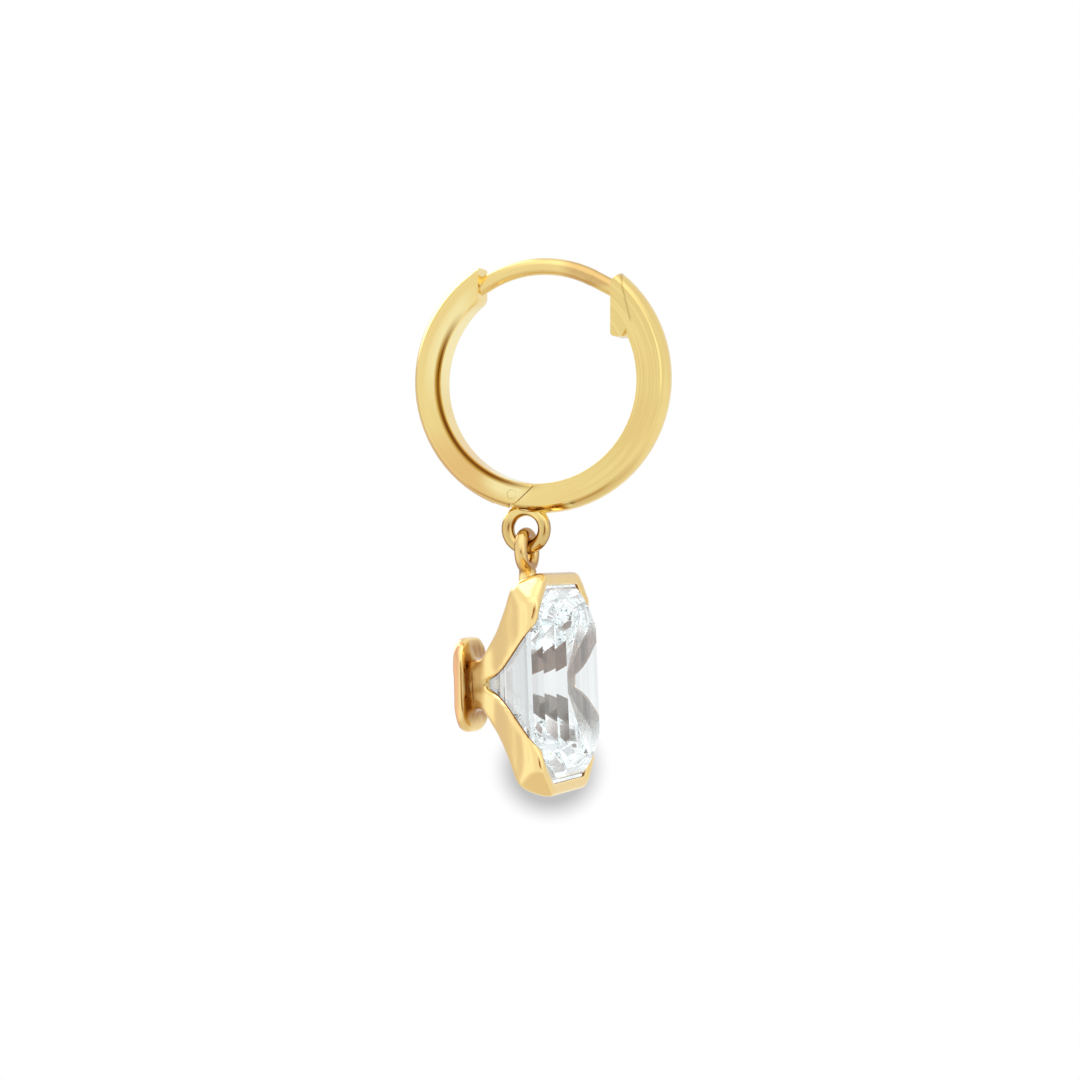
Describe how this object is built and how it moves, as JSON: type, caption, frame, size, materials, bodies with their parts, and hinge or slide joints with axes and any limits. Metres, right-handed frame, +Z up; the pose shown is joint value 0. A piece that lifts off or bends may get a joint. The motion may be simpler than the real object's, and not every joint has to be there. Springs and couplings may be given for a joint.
{
  "type": "hoop charm earring",
  "caption": "Hinged hoop earring with an ear wire, a hanging ring and a step cut stone in a cast setting that swings under it.",
  "frame": {"origin": "centre line of the ear wire at its top, where the earring hangs in the ear lobe", "axes": "+Z up as it hangs, +X to the front of the ear, past the catch, and Y across the band"},
  "size_m": [0.0126, 0.0074, 0.0254],
  "materials": {
    "hoop_gold": "polished gold, pale yellow",
    "charm_gold": "polished gold, a little redder",
    "stone": "clear cut stone"
  },
  "bodies": {
    "back_half": {"wire_half": "hoop_gold", "hinge_pin": "hoop_gold"},
    "front_half": {"catch_half": "hoop_gold"},
    "charm": {"setting": "charm_gold", "stone": "stone"}
  },
  "joints": [
    {"name": "hoop_hinge", "type": "hinge", "parent": "back_half", "child": "front_half", "pos_m": [-0.00128, 0, -0.01085], "axis": [0, 1, 0], "range_deg": [0, 30]},
    {"name": "charm_swing", "type": "hinge", "parent": "front_half", "child": "charm", "pos_m": [-0.00078, 0, -0.01272], "axis": [0, -1, 0], "range_deg": [-25, 35]}
  ]
}
